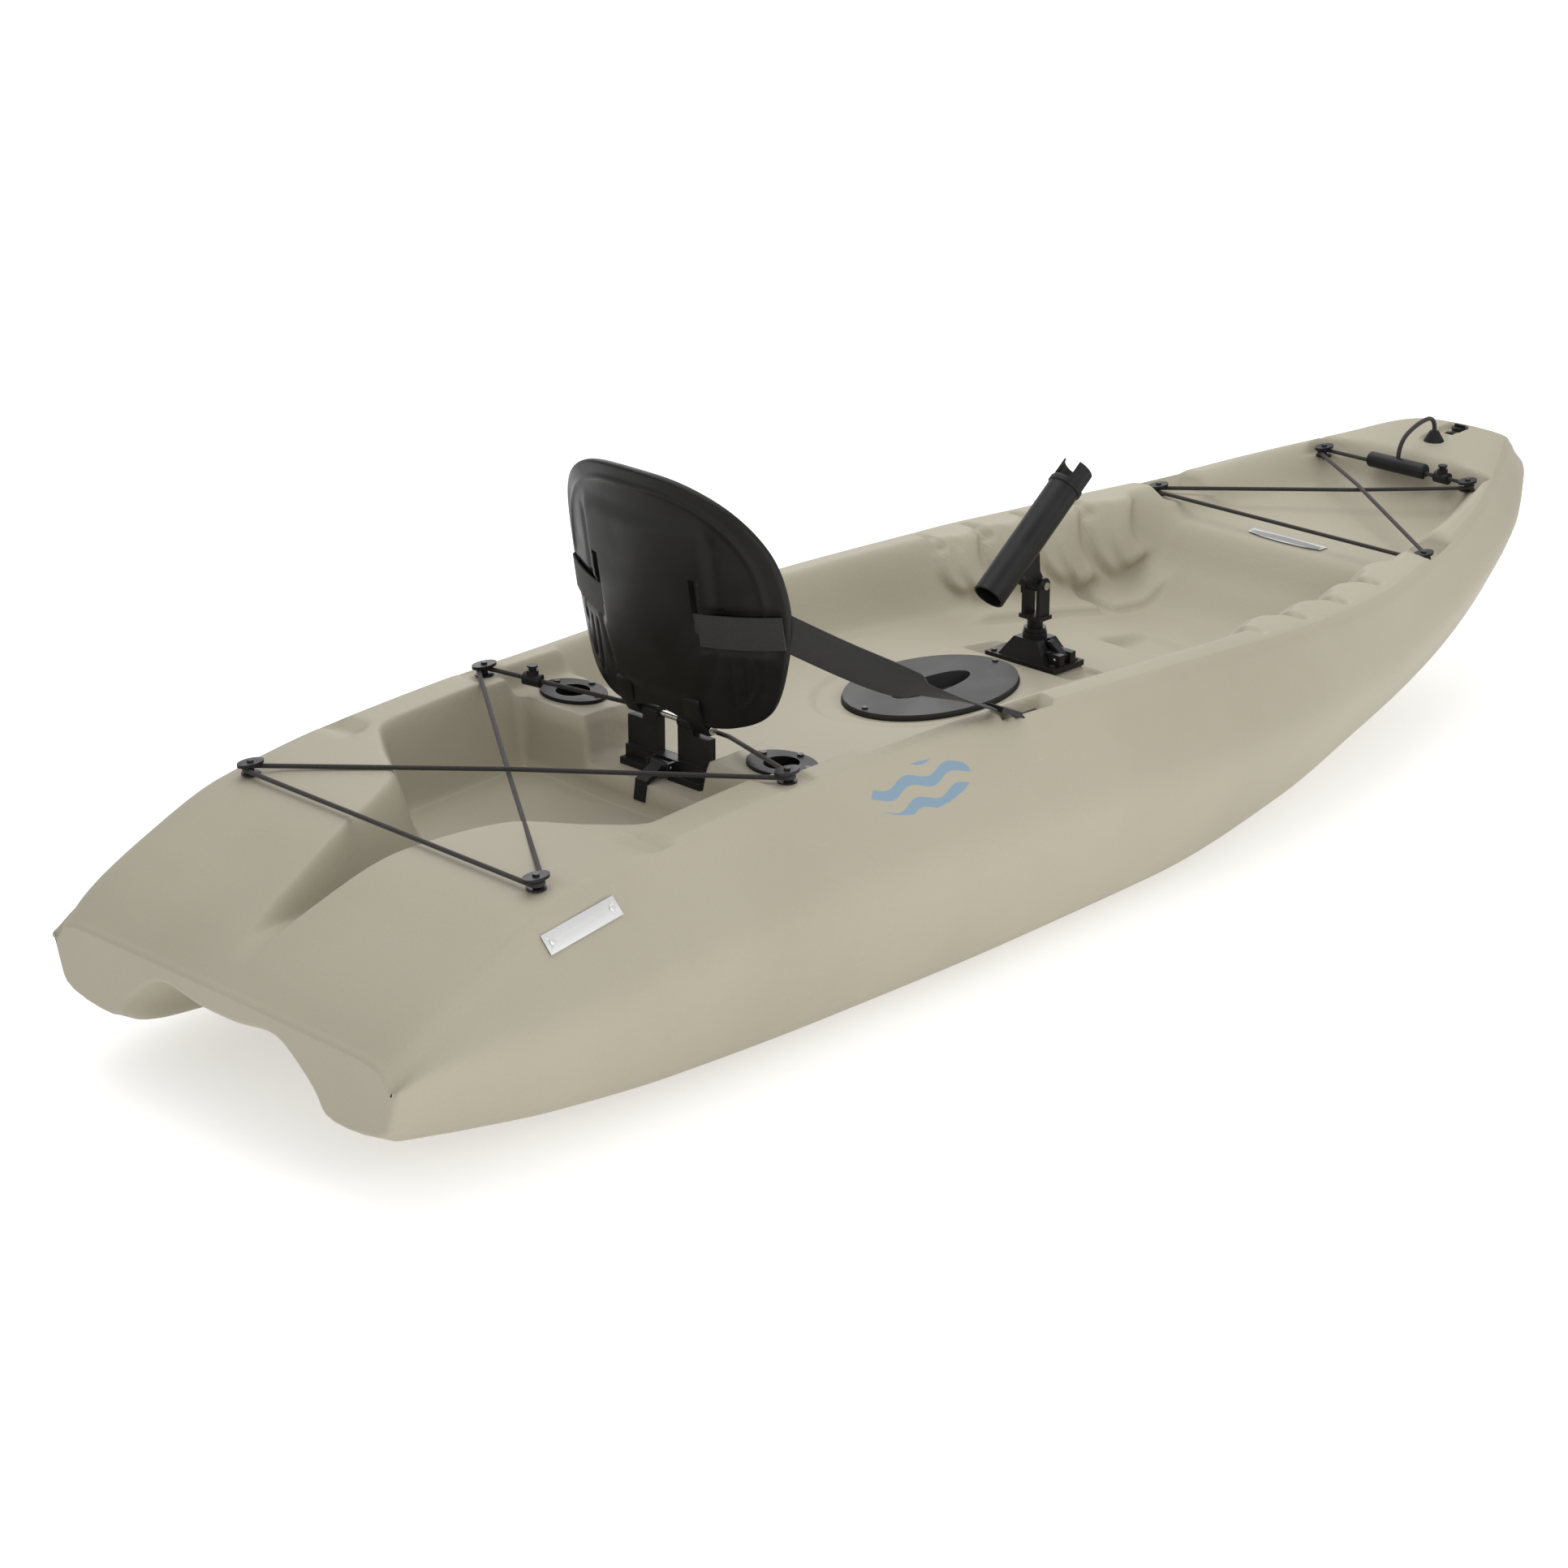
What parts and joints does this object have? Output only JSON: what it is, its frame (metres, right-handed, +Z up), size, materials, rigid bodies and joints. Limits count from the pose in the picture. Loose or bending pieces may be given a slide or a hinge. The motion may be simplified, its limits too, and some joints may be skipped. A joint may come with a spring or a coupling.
{
  "type": "sit-on-top kayak",
  "caption": "Rigid sit-on-top angling kayak with a folding seat back, swivel rod holder, flush rod holders, hatch and shock-cord lashing on both decks.",
  "frame": {"origin": "centre plane, half way along the hull, at the level of its lowest bottom", "axes": "+Y to the bow, +X to starboard, +Z up"},
  "size_m": [0.787, 2.565, 0.6534],
  "materials": {
    "hull_plastic": "rotomoulded polyethylene, faint grain",
    "black_plastic": "moulded nylon, satin",
    "flange_plastic": "charcoal, fine texture",
    "stainless": "stainless, turned",
    "shock_cord_cloth": "braided cover",
    "webbing": "woven webbing",
    "seat_cloth": "padded nylon cloth",
    "black_rubber": "matte",
    "plate_alloy": "satin, blank",
    "badge_film": "domed film, blank"
  },
  "bodies": {
    "hull": {"anchor_screws": "stainless", "bow_badge": "badge_film", "bow_boot": "black_rubber", "deck_hooks_front": "black_plastic", "deck_hooks_rear": "black_plastic", "flush_rod_holder_port": "flange_plastic", "flush_rod_holder_starboard": "flange_plastic", "front_cord_lock": "black_plastic", "front_lock_spring": "stainless", "front_shock_cord": "shock_cord_cloth", "hatch_gasket": "black_rubber", "hook_screws": "stainless", "hull": "hull_plastic", "nameplate": "plate_alloy", "nameplate_rivets": "plate_alloy", "neck_screws": "stainless", "plug_tether": "black_rubber", "rear_cord_lock": "black_plastic", "rear_lock_spring": "stainless", "rear_shock_cord": "shock_cord_cloth", "rod_base": "black_plastic", "rod_base_screws": "stainless", "rod_holder_screws": "stainless", "rod_lock_pin": "stainless", "seat_clip_pin": "stainless", "seat_hinge_pin": "stainless", "seat_neck": "black_plastic", "seat_strap_port": "webbing", "seat_strap_starboard": "webbing", "strap_anchor_port": "webbing", "strap_anchor_starboard": "webbing", "strap_buckle_port": "black_plastic", "strap_buckle_starboard": "black_plastic", "tether_screw": "stainless"},
    "seat_back": {"seat_shell": "black_plastic", "seat_pad": "seat_cloth", "seat_back_strap": "webbing"},
    "seat_clip": {"seat_clip": "black_plastic"},
    "hatch": {"hatch_cover": "flange_plastic", "hatch_screws": "stainless"},
    "rod_post": {"rod_post": "black_plastic", "rod_pivot_bolt": "stainless"},
    "rod_holder_tube": {"rod_tube": "black_plastic"},
    "rod_lock": {"rod_lock_lever": "black_plastic"},
    "tilt_knob": {"rod_tilt_knob": "black_plastic"},
    "front_button": {"front_lock_button": "black_plastic"},
    "rear_button": {"rear_lock_button": "black_plastic"},
    "drain_plug": {"drain_plug": "black_plastic"},
    "carry_handle": {"bow_handle": "black_plastic", "bow_rope": "shock_cord_cloth"}
  },
  "joints": [
    {"name": "seat_recline", "type": "hinge", "parent": "hull", "child": "seat_back", "pos_m": [0, -0.556, 0.317], "axis": [-1, 0, 0], "range_deg": [0, 75], "deforming": ["seat_strap_port", "seat_strap_starboard"]},
    {"name": "clip_release", "type": "hinge", "parent": "hull", "child": "seat_clip", "pos_m": [0, -0.576, 0.258], "axis": [-1, 0, 0], "range_deg": [0, 14], "stiffness_Nm_per_rad": 0.4},
    {"name": "hatch_lift", "type": "slide", "parent": "hull", "child": "hatch", "axis": [0, 0, 1], "range_m": [0, 0.06]},
    {"name": "rod_swivel", "type": "hinge", "parent": "hull", "child": "rod_post", "pos_m": [0, 0.146, 0.21311], "axis": [0, 0, 1], "continuous": true},
    {"name": "rod_tilt", "type": "hinge", "parent": "rod_post", "child": "rod_holder_tube", "pos_m": [0, 0.146, 0.32511], "axis": [1, 0, 0], "range_deg": [-30, 30]},
    {"name": "knob_turn", "type": "hinge", "parent": "rod_post", "child": "tilt_knob", "pos_m": [0, 0.146, 0.32511], "axis": [1, 0, 0], "continuous": true},
    {"name": "rod_lock_turn", "type": "hinge", "parent": "hull", "child": "rod_lock", "pos_m": [0.05, 0.146, 0.22911], "axis": [0, 1, 0], "range_deg": [0, 80]},
    {"name": "front_button_press", "type": "slide", "parent": "hull", "child": "front_button", "axis": [0, 0, -1], "range_m": [0, 0.003], "stiffness_N_per_m": 200, "deforming": ["front_lock_spring"]},
    {"name": "rear_button_press", "type": "slide", "parent": "hull", "child": "rear_button", "axis": [0, 0, -1], "range_m": [0, 0.003], "stiffness_N_per_m": 200, "deforming": ["rear_lock_spring"]},
    {"name": "plug_pull", "type": "slide", "parent": "hull", "child": "drain_plug", "axis": [0, 0, 1], "range_m": [0, 0.02], "deforming": ["plug_tether"]},
    {"name": "handle_lift", "type": "hinge", "parent": "hull", "child": "carry_handle", "pos_m": [0, 1.09, 0.34886], "axis": [-1, 0, 0], "range_deg": [0, 70], "deforming": ["bow_rope"]}
  ]
}
